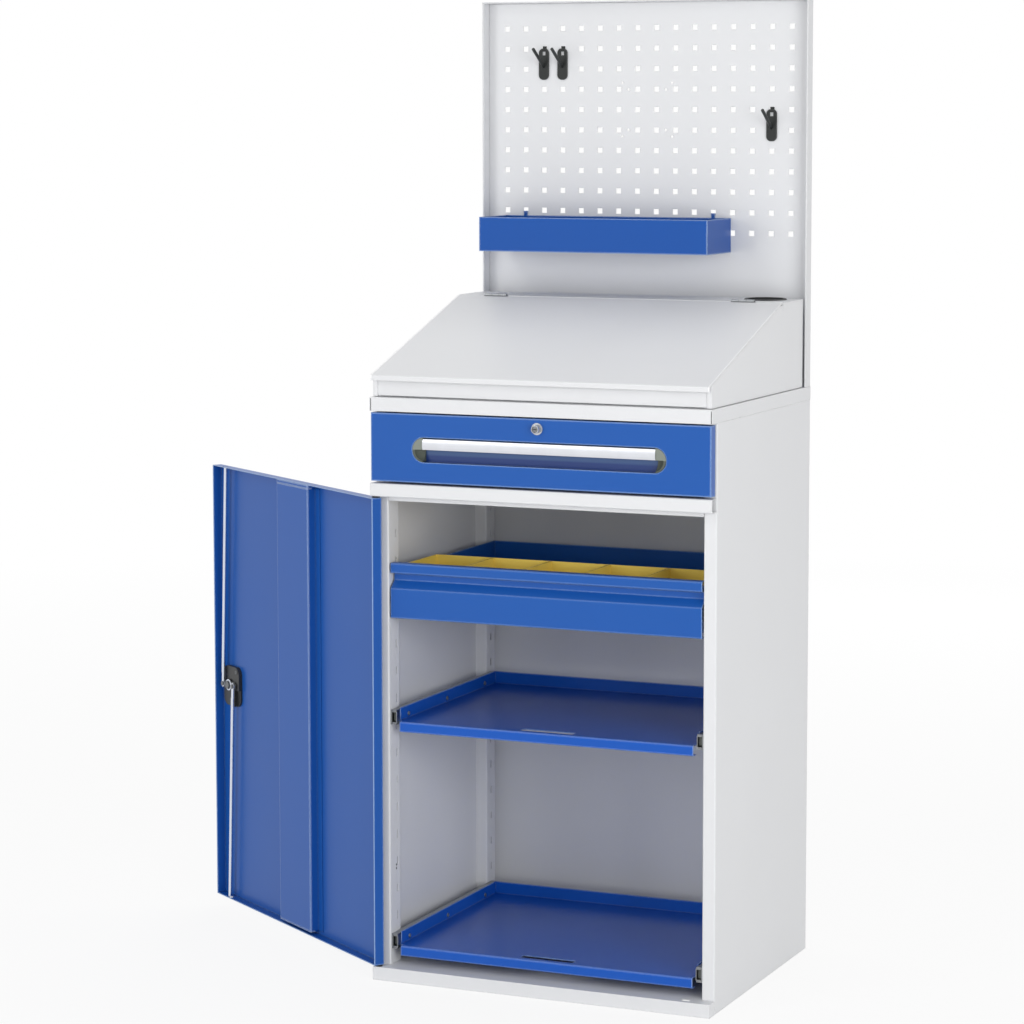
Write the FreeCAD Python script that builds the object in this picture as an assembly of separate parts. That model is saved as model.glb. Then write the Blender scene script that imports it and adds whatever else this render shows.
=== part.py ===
import FreeCAD, Part
import math
import os

V = FreeCAD.Vector

# Overall size with the door shut. Origin: middle of the footprint, on the floor. Front faces -Y.
WIDTH = 650.0
DEPTH = 520.0
HEIGHT = 1770.0
LEFT, RIGHT = -WIDTH / 2, WIDTH / 2
FRONT, BACK = -DEPTH / 2, DEPTH / 2

# Sheet steel and the clearances that every piece is tied to.
SHEET = 1.2
BEND = 1.5
RUN = 0.4
REVEAL = 3.0

# Heights of the carcass: plinth, middle rail and cover.
BASE_H = 24.0
BASE_RIB_W = 60.0
RAIL_H = 24.0
RAIL_TOP = 906.0
COVER_H = 25.0
COVER_TOP = 1060.0
COVER_UNDER = COVER_TOP - COVER_H

# The stiles stand back so that door and drawer front lie flush with rail, plinth and cover.
SETBACK = 25.0
STILE_Y = FRONT + SETBACK
STILE_W = 24.0
STILE_RETURN = 42.0
POST_X = RIGHT - STILE_W
REAR_POST_Y = 190.0
REAR_POST_D = 40.0
SLOT_PITCH = 50.0
SLOT_START = 110.0
SLOT_COUNT = 15
BASE_BACK = BACK - SHEET - BEND
FRONT_T = 20.0

# Telescopic slides: three nested channels on each side of a drawer or shelf.
SLIDE_H = 27.0
SLIDE_T = 12.7
SLIDE_WALL = 1.2
SLIDE_FRONT = STILE_Y + 4.0
SLIDE_BACK = 209.0
BOX_X = POST_X - SLIDE_T
BOX_BACK = 200.0

# Drawers and pull-out shelves.
DRAWER_FRONT_Z = 910.0
DRAWER_FRONT_H = 122.5
DRAWER_SLIDE_Z = 950.0
FRONT_LIP = 18.0
INNER_FRONT_Z = 660.0
INNER_FRONT_H = 100.0
INNER_FRONT_T = 17.0
INNER_BOX_Y = STILE_Y + INNER_FRONT_T + SHEET
INNER_SLIDE_Z = 702.0
BIN_COUNT = 5
BIN_DEPTH = 150.0
BIN_WALL = 2.0
BIN_H = 88.0
BIN_PLAY = 0.5
SHELF_UPPER_Z = 472.0
SHELF_LOWER_Z = 60.0
SHELF_SIDE_H = 23.0
SHELF_LIP_H = 19.0
SHELF_SLIDE_RISE = 7.0
SHELF_GRIP = 100.0
SHELF_GRIP_W = 14.0
SHELF_GRIP_BACK = 12.0
DRAWER_BOX_RISE = 6.0
DRAWER_BOX_H = 92.0
INNER_BOX_H = 82.0
BOX_SHEET = 1.0

# Long recessed grip of the top drawer, and its lock above it.
GRIP_LENGTH = 482.0
GRIP_H = 44.0
GRIP_Z = 969.0
GRIP_CAP = 20.0
GRIP_BACK_Y = FRONT + 16.0
LOCK_Z = 1015.0
LOCK_R = 10.5
LOCK_TAB_Y = FRONT + 12.6
LOCK_TAB = 26.0
LOCK_TAB_W = 11.0
LOCK_TAB_T = 2.5

# Door: a folded pan on two pivot pins, shown swung right round past the side.
DOOR_OPEN = 215.0
PIVOT_INSET = 8.0
PIVOT = V(LEFT + PIVOT_INSET, FRONT + PIVOT_INSET, 0)
PIVOT_R = 4.0
DOOR_EDGE = 2.0
DOOR_LEFT, DOOR_RIGHT = LEFT + DOOR_EDGE, RIGHT - DOOR_EDGE
DOOR_BOTTOM = BASE_H + REVEAL
DOOR_TOP = RAIL_TOP - RAIL_H - REVEAL
STIFF_FROM_HINGE = 251.0
STIFF_W = 123.0
STIFF_DEPTH = 17.0
STIFF_FOOT = 18.0

# Bar lock: a turning arm pushes one bar up into the rail and one down into the plinth.
LATCH_X = DOOR_RIGHT - 44.0
LATCH_Z = 450.0
LATCH_ARM = 21.0
LATCH_PIN_R = 3.0
BAR_R = 3.5
BAR_Y = FRONT + 13.4
BAR_FLAT = 2.6
CASE_T = 7.6
CASE_UP = 37.0
CASE_DOWN = 41.0
CASE_SIDE = 38.0
GUIDE_SLACK = 2.4

# Lectern: box with a sloped lid, hinged along the front of a flat rear strip.
LECTERN_X = RIGHT - 4.0
LECTERN_FRONT = FRONT + 7.0
LECTERN_FOOT = 1.0
LECTERN_RETURN = 9.0
LECTERN_FLANGE = 14.0
LECTERN_Z = COVER_TOP + LECTERN_FOOT
LECTERN_H = 162.0
LECTERN_TOP = LECTERN_Z + LECTERN_H
PANEL_D = 30.0
LECTERN_GAP = 5.0
LECTERN_BACK = BACK - PANEL_D - LECTERN_GAP
STRIP_D = 113.0
LID_AXIS_Y = LECTERN_BACK - STRIP_D
LID_FRONT_Y = LECTERN_FRONT - 12.0
LID_FRONT_Z = LECTERN_Z + 38.0
LID_LIP = 9.0
LID_REAR_FOLD = 12.0
LID_SLOPE = math.atan2(LECTERN_TOP - LID_FRONT_Z, LID_AXIS_Y - LID_FRONT_Y)
LID_LENGTH = math.hypot(LECTERN_TOP - LID_FRONT_Z, LID_AXIS_Y - LID_FRONT_Y)
LID_GAP = 1.0
LID_CHANNEL_INSET = 36.0
LID_CHANNEL_W = 30.0
LID_CHANNEL_D = 14.0
HINGE_INSET = 76.0
HINGE_X = LECTERN_X - HINGE_INSET
HINGE_LENGTH = 44.0
HINGE_R = 3.5
HINGE_PIN_R = 1.6
CUP_INSET = 56.0
CUP_X = LECTERN_X - CUP_INSET
CUP_Y = LECTERN_BACK - 48.0
CUP_R = 36.0
CUP_H = 62.0
CUP_WALL = 2.0
CUP_RIM = 3.0

# Perforated panel behind the lectern, its hole grid and the screen mounting holes.
PANEL_HEM = 8.0
PANEL_WEB = 20.0
PANEL_FACE_Y = BACK - 2 * SHEET
HOLE = 10.0
PITCH = 38.0
HOLE_MARGIN = 40.0
HOLE_COLUMNS = int((WIDTH - 2 * HOLE_MARGIN) / PITCH + 0.01) + 1
HOLE_ROWS = 11
HOLE_TOP = HEIGHT - 50.0
SCREEN_Z = HOLE_TOP - 4 * PITCH
SCREEN_SPANS = (75.0, 100.0)
SCREEN_HOLE_R = 2.5

# Storage tray and tool hooks hung in the panel.
TRAY_ROW = HOLE_TOP - (HOLE_ROWS - 2) * PITCH
TRAY_DROP = 10.0
TRAY_COLUMNS = 12
TRAY_D = 126.0
TRAY_H = 64.0
TRAY_Z = TRAY_ROW - TRAY_DROP - TRAY_H
HANG_GAP = 0.2
TONGUE_T = 3.0
TONGUE_BEHIND = 2.0
HOOK_W = 20.0
HOOK_H = 59.0
HOOK_T = 3.0
HOOK_REACH = 50.0
HOOK_RISE = 32.0
HOOK_ROOT = 33.0
HOOK_R = 3.0
HOOK_WINDOW = 7.0


def block(x, y, z):
    """Box between three pairs of limits."""
    shape = Part.makeBox(x[1] - x[0], y[1] - y[0], z[1] - z[0])
    shape.translate(V(x[0], y[0], z[0]))
    return shape


def bar(start, end, radius):
    """Round bar between two points."""
    return Part.makeCylinder(radius, (end - start).Length, start, end - start)


def prism(points, direction):
    """Straight extrusion of a closed outline."""
    return Part.Face(Part.makePolygon(points + points[:1])).extrude(direction)


def stadium(x, z, length, height, y):
    """Long hole shape with round ends, lying along X."""
    r = height / 2
    half = length / 2 - r
    body = block((x - half, x + half), y, (z - r, z + r))
    for end in (x - half, x + half):
        body = body.fuse(bar(V(end, y[0], z), V(end, y[1], z), r))
    return body.removeSplitter()


def joined(first, *others):
    """Pieces of one sheet made into one solid."""
    return first.fuse(list(others)).removeSplitter()


def mirrored(shape):
    """The same piece for the other side of the cabinet."""
    return shape.mirror(V(0, 0, 0), V(1, 0, 0))


def both_sides(shape):
    """A left and a right piece kept as two solids."""
    return Part.makeCompound([shape, mirrored(shape)])


def edge_chain(points, offset, thickness, bend, place):
    """One face of a bent sheet: straight runs joined by bend arcs, at an offset to the left."""
    steps = [(b - a).normalize() for a, b in zip(points, points[1:])]
    lefts = [V(-d.y, d.x, 0) for d in steps]
    edges = []
    here = points[0] + lefts[0] * offset
    for i in range(1, len(steps)):
        before, after = steps[i - 1], steps[i]
        turn = before.x * after.y - before.y * after.x
        side = 1 if turn > 0 else -1
        radius = bend + thickness - offset if side > 0 else bend + offset
        mitre = points[i] + (lefts[i - 1] + lefts[i]) * (offset / (1 + lefts[i - 1].dot(lefts[i])))
        trim = radius * math.tan(before.getAngle(after) / 2)
        begin, finish = mitre - before * trim, mitre + after * trim
        centre = begin + lefts[i - 1] * (side * radius)
        middle = centre + (mitre - centre).normalize() * radius
        edges.append(Part.makeLine(place(here), place(begin)))
        edges.append(Part.Arc(place(begin), place(middle), place(finish)).toShape())
        here = finish
    last = points[-1] + lefts[-1] * offset
    edges.append(Part.makeLine(place(here), place(last)))
    return edges, place(points[0] + lefts[0] * offset), place(last)


def folded(path, plane, start, end, thickness=SHEET, bend=BEND):
    """Sheet bent along a path in the XY, YZ or XZ plane, material to the left of the path."""
    points = [V(a, b, 0) for a, b in path]
    places = {
        "xy": lambda p: V(p.x, p.y, start),
        "yz": lambda p: V(start, p.x, p.y),
        "xz": lambda p: V(p.x, start, p.y),
    }
    runs = {"xy": V(0, 0, end - start), "yz": V(end - start, 0, 0), "xz": V(0, end - start, 0)}
    face, face_a, face_b = edge_chain(points, 0.0, thickness, bend, places[plane])
    rear, rear_a, rear_b = edge_chain(points, thickness, thickness, bend, places[plane])
    caps = [Part.makeLine(face_a, rear_a), Part.makeLine(face_b, rear_b)]
    wire = Part.Wire(Part.__sortEdges__(face + rear + caps))
    return Part.Face(wire).extrude(runs[plane])


def pan(x, y, z, opening, thickness):
    """Open box folded from sheet; the opening names the missing wall."""
    inner = {"x": [x[0] + thickness, x[1] - thickness],
             "y": [y[0] + thickness, y[1] - thickness],
             "z": [z[0] + thickness, z[1] - thickness]}
    inner[opening[1]][1 if opening[0] == "+" else 0] += 2 * thickness * (1 if opening[0] == "+" else -1)
    return block(x, y, z).cut(block(inner["x"], inner["y"], inner["z"]))


def softened(shape, radius, chosen):
    """Edges picked by their midpoint rounded off."""
    edges = [e for e in shape.Edges if chosen(e.CenterOfMass)]
    return shape.makeFillet(radius, edges)


def upright_slots(y):
    """Row of hanging slots to cut through the inner face of an upright."""
    heights = [SLOT_START + i * SLOT_PITCH for i in range(SLOT_COUNT)]
    return [block((-POST_X - 5, -POST_X + 5), (y - 2, y + 2), (h - 7, h + 7)) for h in heights]


def pivot_hole(z):
    """Hole for the bush of a door pivot."""
    return bar(V(PIVOT.x, PIVOT.y, z - 5), V(PIVOT.x, PIVOT.y, z + 5), PIVOT_R + 2.0)


def bar_slot(z, slack, side):
    """Slot through which a lock bar runs out of the door; the bar drifts to the side of its pin."""
    centre = LATCH_X + side * GUIDE_SLACK
    half = BAR_R + GUIDE_SLACK + slack
    depth = (BAR_Y - BAR_R - slack, BAR_Y + BAR_R + slack)
    return block((centre - half, centre + half), depth, (z - 5, z + 5))


# Carcass.
def base_tray():
    """Floor pan with the plinth front; two ears close the plinth in front of the stiles."""
    inside = RIGHT - SHEET
    floor = joined(block((-inside, inside), (FRONT, BASE_BACK), (0, BASE_H)),
                   block((LEFT, RIGHT), (FRONT, STILE_Y - RUN), (0, BASE_H)))
    deep = (-1, BASE_H - SHEET)
    hollow = joined(block((SHEET - inside, inside - SHEET), (FRONT + SHEET, BASE_BACK - SHEET), deep),
                    block((LEFT + SHEET, RIGHT - SHEET), (FRONT + SHEET, STILE_Y - RUN - SHEET), deep))
    foot = block((-inside, inside), (FRONT, BASE_BACK), (0, SHEET))
    foot = foot.cut(block((20 - inside, inside - 20), (FRONT + 20, BASE_BACK - 20), (-1, 3)))
    tray = joined(floor.cut(hollow), foot)
    return tray.cut([pivot_hole(BASE_H), bar_slot(BASE_H, 1.5, -1)])


def base_stiffener():
    """Channel under the floor pan that carries the middle of the floor."""
    y = BASE_RIB_W / 2
    path = [(-y, BASE_H - SHEET), (-y, 0), (y, 0), (y, BASE_H - SHEET)]
    half = RIGHT - SHEET - 20
    return folded(path, "yz", -half, half)


def side_panel():
    """Left side: outer skin, rear flange, stile and slotted return bent from one sheet."""
    path = [(LEFT + 20, BACK), (LEFT, BACK), (LEFT, STILE_Y), (-POST_X, STILE_Y),
            (-POST_X, STILE_Y + STILE_RETURN)]
    sheet = folded(path, "xy", 0, COVER_UNDER)
    top = block((LEFT + BEND, LEFT + 18), (STILE_Y + SHEET, BACK - SHEET), (COVER_UNDER - SHEET, COVER_UNDER))
    foot_notch = block((LEFT + SHEET, RIGHT), (STILE_Y - 1, STILE_Y + STILE_RETURN + 1), (-1, BASE_H))
    return joined(sheet, top).cut([foot_notch] + upright_slots(STILE_Y + 30))


def rear_uprights():
    """Slotted channels in the rear corners that carry the slides."""
    skin = LEFT + SHEET
    rear = REAR_POST_Y + REAR_POST_D
    path = [(skin, REAR_POST_Y), (-POST_X, REAR_POST_Y), (-POST_X, rear), (skin, rear)]
    channel = folded(path, "xy", BASE_H, COVER_UNDER - SHEET)
    return both_sides(channel.cut(upright_slots(REAR_POST_Y + REAR_POST_D / 2)))


def back_panel():
    """Rear wall with its two edges folded forward against the sides."""
    edge = RIGHT - SHEET
    path = [(edge, BACK - 16), (edge, BACK - SHEET), (-edge, BACK - SHEET), (-edge, BACK - 16)]
    return folded(path, "xy", BASE_H, COVER_UNDER - SHEET)


def middle_rail():
    """Floor of the drawer bay with the front rail and the door stop folded onto it."""
    under = RAIL_TOP - RAIL_H
    path = [(REAR_POST_Y + REAR_POST_D, RAIL_TOP), (FRONT, RAIL_TOP), (FRONT, under), (STILE_Y, under),
            (STILE_Y, under - 9.5)]
    rail = folded(path, "yz", LEFT, RIGHT)
    behind = (STILE_Y - RUN, BACK)
    for side in (-1, 1):
        x = sorted((side * POST_X, side * (RIGHT + 1)))
        rail = rail.cut(block(x, behind, (under - 20, RAIL_TOP + 1)))
    return rail.cut([pivot_hole(under), bar_slot(under, 1.5, 1)])


def top_cover():
    """Cap over the carcass with its edges folded down and in."""
    shell = pan((LEFT, RIGHT), (FRONT, BACK), (COVER_UNDER, COVER_TOP), "-z", SHEET)
    lips = block((LEFT, RIGHT), (FRONT, BACK), (COVER_UNDER, COVER_UNDER + SHEET))
    lips = lips.cut(block((LEFT + 12, RIGHT - 12), (FRONT + 12, BACK - 12),
                          (COVER_UNDER - 1, COVER_UNDER + 3)))
    return softened(joined(shell, lips), BEND, lambda c: c.z > COVER_TOP - 0.1 and
                    (abs(c.x) > RIGHT - 0.1 or abs(c.y) > BACK - 0.1))


# Telescopic slides.
def slide_channels(web, tip, half, z, y):
    """Left and right channel, open on the tip side; web and tip are distances from the upright."""
    out = SLIDE_WALL if tip > web else -SLIDE_WALL
    solid = block(sorted((web - POST_X, tip - POST_X)), y, (z - half, z + half))
    hollow = block(sorted((web + out - POST_X, tip + out - POST_X)), (y[0] - 1, y[1] + 1),
                   (z - half + SLIDE_WALL, z + half - SLIDE_WALL))
    return both_sides(solid.cut(hollow))


def slide_fixed(z, front):
    """Outer channel screwed to the uprights."""
    return slide_channels(0, SLIDE_T - 0.7, SLIDE_H / 2, z, (front, SLIDE_BACK))


def slide_middle(z, front):
    """Middle channel running inside the outer one."""
    lead = SLIDE_WALL + RUN
    return slide_channels(lead, SLIDE_T - 1.0, SLIDE_H / 2 - lead, z, (front, SLIDE_BACK - 14))


def slide_moving(z, front):
    """Inner channel, web against the drawer side."""
    lead = 2 * (SLIDE_WALL + RUN)
    return slide_channels(SLIDE_T, lead + RUN, SLIDE_H / 2 - lead, z, (front, SLIDE_BACK - 20))


# Top drawer.
def drawer_box(front, bottom, height):
    """Drawer body: a plain folded tray between the slides."""
    return pan((-BOX_X, BOX_X), (front, BOX_BACK), (bottom, bottom + height), "+z", BOX_SHEET)


def top_drawer_box():
    """Body of the top drawer, welded to the back of its front."""
    return drawer_box(FRONT + FRONT_T, DRAWER_FRONT_Z + DRAWER_BOX_RISE, DRAWER_BOX_H)


def top_drawer_front():
    """Front pan with the grip opening, lock hole and tab slot; its rear lips seat on the drawer body."""
    x, z = (DOOR_LEFT, DOOR_RIGHT), (DRAWER_FRONT_Z, DRAWER_FRONT_Z + DRAWER_FRONT_H)
    rear = FRONT + FRONT_T
    front = pan(x, (FRONT, rear), z, "+y", SHEET)
    front = softened(front, BEND, lambda c: c.y < FRONT + 0.1)
    lips = block(x, (rear - SHEET, rear), z).cut(
        block((x[0] + FRONT_LIP, x[1] - FRONT_LIP), (rear - 5, rear + 5),
              (z[0] + FRONT_LIP, z[1] - FRONT_LIP)))
    front = joined(front, lips)
    lock_hole = bar(V(0, FRONT - 1, LOCK_Z), V(0, FRONT + 5, LOCK_Z), LOCK_R - 1.5)
    tab_slot = block((-LOCK_TAB_W, LOCK_TAB + 1), (LOCK_TAB_Y - 1, LOCK_TAB_Y + LOCK_TAB_T + 1),
                     (z[1] - 5, z[1] + 5))
    grip_hole = stadium(0, GRIP_Z, GRIP_LENGTH, GRIP_H, (FRONT - 1, FRONT + 5))
    return front.cut([grip_hole, lock_hole, tab_slot])


def grip_trough():
    """Finger recess behind the grip opening, bent from one strip."""
    low, high = GRIP_Z - GRIP_H / 2 - 1, GRIP_Z + GRIP_H / 2 + 1
    skin = FRONT + SHEET
    path = [(skin, high), (GRIP_BACK_Y, high), (GRIP_BACK_Y, low), (skin, low)]
    half = GRIP_LENGTH / 2 + 2
    return folded(path, "yz", -half, half, 1.0)


def grip_bar():
    """Bright pull bar across the upper half of the opening, bowed at the front."""
    half = GRIP_LENGTH / 2 - GRIP_CAP
    low, high = GRIP_Z + 0.5, GRIP_Z + GRIP_H / 2 - 2.5
    rear = FRONT + 4.0
    bow = Part.Arc(V(-half, FRONT + 0.8, high), V(-half, FRONT - 2.4, (low + high) / 2),
                   V(-half, FRONT - 0.4, low))
    edges = [bow.toShape(), Part.makeLine(V(-half, FRONT - 0.4, low), V(-half, rear, low)),
             Part.makeLine(V(-half, rear, low), V(-half, rear, high)),
             Part.makeLine(V(-half, rear, high), V(-half, FRONT + 0.8, high))]
    return Part.Face(Part.Wire(edges)).extrude(V(2 * half, 0, 0))


def grip_caps():
    """Two end pieces that close the trough: they carry the bar above and are scooped out below it."""
    r = GRIP_H / 2 - RUN
    x = GRIP_H / 2 - GRIP_LENGTH / 2
    y = (FRONT - 0.6, GRIP_BACK_Y - RUN)
    disc = bar(V(x, y[0], GRIP_Z), V(x, y[1], GRIP_Z), r)
    neck = block((x, x + 6), y, (GRIP_Z - r, GRIP_Z + r))
    keep = block((-GRIP_LENGTH / 2 - 1, GRIP_CAP - GRIP_LENGTH / 2), (FRONT - 5, BACK), (0, HEIGHT))
    scoop = Part.makeSphere(20.0, V(GRIP_CAP - GRIP_LENGTH / 2 + 4, FRONT - 6.5, GRIP_Z - 1))
    below = block((-RIGHT, RIGHT), (FRONT - 30, BACK), (GRIP_Z - GRIP_H, GRIP_Z + 0.5))
    return both_sides(joined(disc, neck).common(keep).cut(scoop.common(below)))


def lock_cylinder():
    """Chromed housing of the drawer lock with its collar on the front."""
    collar = bar(V(0, FRONT - 2.0, LOCK_Z), V(0, FRONT, LOCK_Z), LOCK_R)
    barrel = bar(V(0, FRONT, LOCK_Z), V(0, LOCK_TAB_Y - RUN, LOCK_Z), LOCK_R - 2.0)
    bore = bar(V(0, FRONT - 5, LOCK_Z), V(0, FRONT + 30, LOCK_Z), LOCK_R - 4.5)
    return joined(collar, barrel).cut(bore)


def lock_plug():
    """Turning core of the drawer lock with its key slit and the tab behind the front."""
    core = bar(V(0, FRONT - 2.4, LOCK_Z), V(0, LOCK_TAB_Y + LOCK_TAB_T, LOCK_Z), LOCK_R - 4.5 - RUN)
    slit = block((-3.5, 3.5), (FRONT - 4, FRONT + 3), (LOCK_Z - 0.8, LOCK_Z + 0.8))
    half = LOCK_TAB_W / 2
    tab = block((-half, LOCK_TAB), (LOCK_TAB_Y, LOCK_TAB_Y + LOCK_TAB_T), (LOCK_Z - half, LOCK_Z + half))
    return joined(core.cut(slit), tab)


# Inner drawer behind the door.
def inner_drawer_front():
    """Front bent as one open-ended strip: upper lip, finger groove and lower face."""
    face, rear = STILE_Y + 1.0, STILE_Y + INNER_FRONT_T
    low, high = INNER_FRONT_Z, INNER_FRONT_Z + INNER_FRONT_H
    path = [(rear + SHEET, high), (face, high), (face, high - 18), (rear, high - 21), (rear, high - 32),
            (face, high - 46), (face, low), (rear + SHEET, low)]
    half = POST_X - REVEAL
    return folded(path, "yz", -half, half)


def inner_drawer_box():
    """Body of the inner drawer, welded to the back of its front strip."""
    return drawer_box(INNER_BOX_Y, INNER_FRONT_Z + DRAWER_BOX_RISE, INNER_BOX_H)


def insert_bins():
    """Row of loose plastic bins along the front of the inner drawer."""
    span = 2 * (BOX_X - BOX_SHEET - BIN_PLAY)
    front = INNER_BOX_Y + BOX_SHEET + BIN_PLAY
    floor = INNER_FRONT_Z + DRAWER_BOX_RISE + BOX_SHEET
    each = span / BIN_COUNT
    bins = []
    for i in range(BIN_COUNT):
        x = -span / 2 + i * each
        bins.append(pan((x + BIN_PLAY / 2, x + each - BIN_PLAY / 2), (front, front + BIN_DEPTH),
                        (floor, floor + BIN_H), "+z", BIN_WALL))
    return Part.makeCompound(bins)


def pull_out_shelf(z):
    """Shelf tray: turned-down front lip with a finger slot behind it, turned-up sides and back."""
    y = (SLIDE_FRONT - 1, BOX_BACK)
    plate = block((-BOX_X, BOX_X), y, (z - SHEET, z))
    back = block((-BOX_X, BOX_X), (y[1] - SHEET, y[1]), (z - SHEET, z + SHELF_SIDE_H))
    sides = [block(sorted((s * BOX_X, s * (BOX_X - SHEET))), (y[0] + 14, y[1]), (z - SHEET, z + SHELF_SIDE_H))
             for s in (-1, 1)]
    path = [(y[0] + 14, z - SHELF_LIP_H), (y[0], z - SHELF_LIP_H), (y[0], z), (y[0] + 20, z)]
    lip = folded([p for p in reversed(path)], "yz", 6 - BOX_X, BOX_X - 6)
    plate = plate.cut(block((-BOX_X - 1, BOX_X + 1), (y[0] - 1, y[0] + 10), (z - 3, z + 1)))
    grip_y = y[0] + SHELF_GRIP_BACK
    grip = block((-SHELF_GRIP / 2, SHELF_GRIP / 2), (grip_y, grip_y + SHELF_GRIP_W), (z - 5, z + 5))
    return joined(plate, back, lip, *sides).cut(grip)


# Door, built shut and then swung open.
def swung(shape):
    """Carry a door piece from the shut position to the open one."""
    shape.rotate(PIVOT, V(0, 0, 1), -DOOR_OPEN)
    return shape


def door_skin():
    """Outer skin with four flanges, bored for the spindle and slotted for the lock bars."""
    x, z = (DOOR_LEFT, DOOR_RIGHT), (DOOR_BOTTOM, DOOR_TOP)
    skin = pan(x, (FRONT, FRONT + FRONT_T), z, "+y", SHEET)
    skin = softened(skin, BEND, lambda c: c.y < FRONT + 0.1)
    spindle = bar(V(LATCH_X, FRONT - 5, LATCH_Z), V(LATCH_X, FRONT + 5, LATCH_Z), 5.0)
    slots = [bar_slot(z[0], 0.7, -1), bar_slot(z[1], 0.7, 1)]
    return swung(skin.cut([spindle] + slots))


def door_stiffener():
    """Hat section welded down the inside of the door."""
    skin = FRONT + SHEET
    x = DOOR_LEFT + STIFF_FROM_HINGE
    path = [(x - STIFF_FOOT, skin), (x, skin), (x, skin + STIFF_DEPTH), (x + STIFF_W, skin + STIFF_DEPTH),
            (x + STIFF_W, skin), (x + STIFF_W + STIFF_FOOT, skin)]
    return swung(folded(path, "xy", DOOR_BOTTOM + 8, DOOR_TOP - 8))


def door_pivots():
    """Pins on the top and bottom flange at the hinge corner."""
    top = bar(V(PIVOT.x, PIVOT.y, DOOR_TOP), V(PIVOT.x, PIVOT.y, DOOR_TOP + 14), PIVOT_R)
    bottom = bar(V(PIVOT.x, PIVOT.y, DOOR_BOTTOM - 14), V(PIVOT.x, PIVOT.y, DOOR_BOTTOM), PIVOT_R)
    return Part.makeCompound([top, bottom])


def pivot_bush(z, up):
    """Flanged plastic bush; the flange fills most of the gap between door and carcass."""
    step = V(0, 0, up)
    foot = V(PIVOT.x, PIVOT.y, z)
    flange = bar(foot, foot + step * (REVEAL - RUN), PIVOT_R + 3.2)
    sleeve = bar(foot - step * 6, foot, PIVOT_R + 1.7)
    return joined(flange, sleeve).cut(bar(foot - step * 9, foot + step * 9, PIVOT_R + 0.35))


def pivot_bushes():
    """Bush in the plinth and bush in the rail."""
    return Part.makeCompound([pivot_bush(BASE_H, 1), pivot_bush(RAIL_TOP - RAIL_H, -1)])


def lock_case():
    """Plastic housing of the bar lock on the inside of the door."""
    skin = FRONT + SHEET
    z = (LATCH_Z - CASE_DOWN, LATCH_Z + CASE_UP)
    case = block((LATCH_X - CASE_SIDE, LATCH_X + 26), (skin, skin + CASE_T), z)
    case = softened(case, 16.0, lambda c: abs(c.y - skin - CASE_T / 2) < 0.1)
    step = block((LATCH_X - CASE_SIDE - 2, LATCH_X - 20), (skin + CASE_T / 2, skin + 2 * CASE_T),
                 (z[0] - 1, LATCH_Z - 8))
    return swung(case.cut([step, bar(V(LATCH_X, skin - 1, LATCH_Z), V(LATCH_X, skin + 20, LATCH_Z), 5.0)]))


def handle_rose():
    """Oval plate under the turning handle on the outside of the door."""
    rose = block((LATCH_X - 22, LATCH_X + 22), (FRONT - 6, FRONT), (LATCH_Z - 42, LATCH_Z + 42))
    rose = softened(rose, 21.0, lambda c: abs(c.y - FRONT + 3) < 0.1)
    rose = rose.makeChamfer(1.5, [e for e in rose.Edges if e.CenterOfMass.y < FRONT - 5.9])
    return swung(rose.cut(bar(V(LATCH_X, FRONT - 9, LATCH_Z), V(LATCH_X, FRONT + 1, LATCH_Z), 5.0)))


def turn_handle():
    """Wing handle that drives the lock spindle, with a pocket for the key core."""
    y = (FRONT - 24, FRONT - 6 - RUN)
    hub = bar(V(LATCH_X, y[0], LATCH_Z), V(LATCH_X, y[1], LATCH_Z), 15.0)
    wing = block((LATCH_X - 38, LATCH_X + 38), (y[0], y[1] - 5), (LATCH_Z - 8, LATCH_Z + 8))
    wing = softened(wing, 7.0, lambda c: abs(c.z - LATCH_Z) > 7.9 and abs(abs(c.x - LATCH_X) - 38) < 0.1)
    pocket = bar(V(LATCH_X, y[0] - 1, LATCH_Z), V(LATCH_X, y[0] + 9, LATCH_Z), 7.0)
    bore = bar(V(LATCH_X, y[0] + 11, LATCH_Z), V(LATCH_X, y[1] + 1, LATCH_Z), PIVOT_R + 0.35)
    return swung(joined(hub, wing).cut([pocket, bore]))


def handle_core():
    """Key core in the middle of the turning handle."""
    y = (FRONT - 25, FRONT - 15 - RUN)
    core = bar(V(LATCH_X, y[0], LATCH_Z), V(LATCH_X, y[1], LATCH_Z), 7.0 - RUN)
    key_slit = block((LATCH_X - 3.5, LATCH_X + 3.5), (y[0] - 1, y[0] + 4), (LATCH_Z - 0.8, LATCH_Z + 0.8))
    return swung(core.cut(key_slit))


def latch_arm():
    """Spindle with the two-ended arm that carries a bar pin at each end."""
    y = FRONT + SHEET + CASE_T + RUN
    arm = stadium(LATCH_X, LATCH_Z, 2 * LATCH_ARM + 15, 15, (y, y + 2.4))
    spindle = bar(V(LATCH_X, FRONT - 12.6, LATCH_Z), V(LATCH_X, y, LATCH_Z), PIVOT_R)
    corners = [math.radians(60 * i) for i in range(6)]
    nut = prism([V(LATCH_X + 8 * math.cos(a), y + 2.4, LATCH_Z + 8 * math.sin(a)) for a in corners],
                V(0, 4.6, 0))
    pins = []
    for x in (LATCH_X - LATCH_ARM, LATCH_X + LATCH_ARM):
        pins.append(bar(V(x, y, LATCH_Z), V(x, BAR_Y + 2.2, LATCH_Z), LATCH_PIN_R))
        pins.append(bar(V(x, BAR_Y + 1.8, LATCH_Z), V(x, BAR_Y + 3.0, LATCH_Z), LATCH_PIN_R + 1.4))
    return swung(joined(arm, spindle, nut, *pins))


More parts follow.
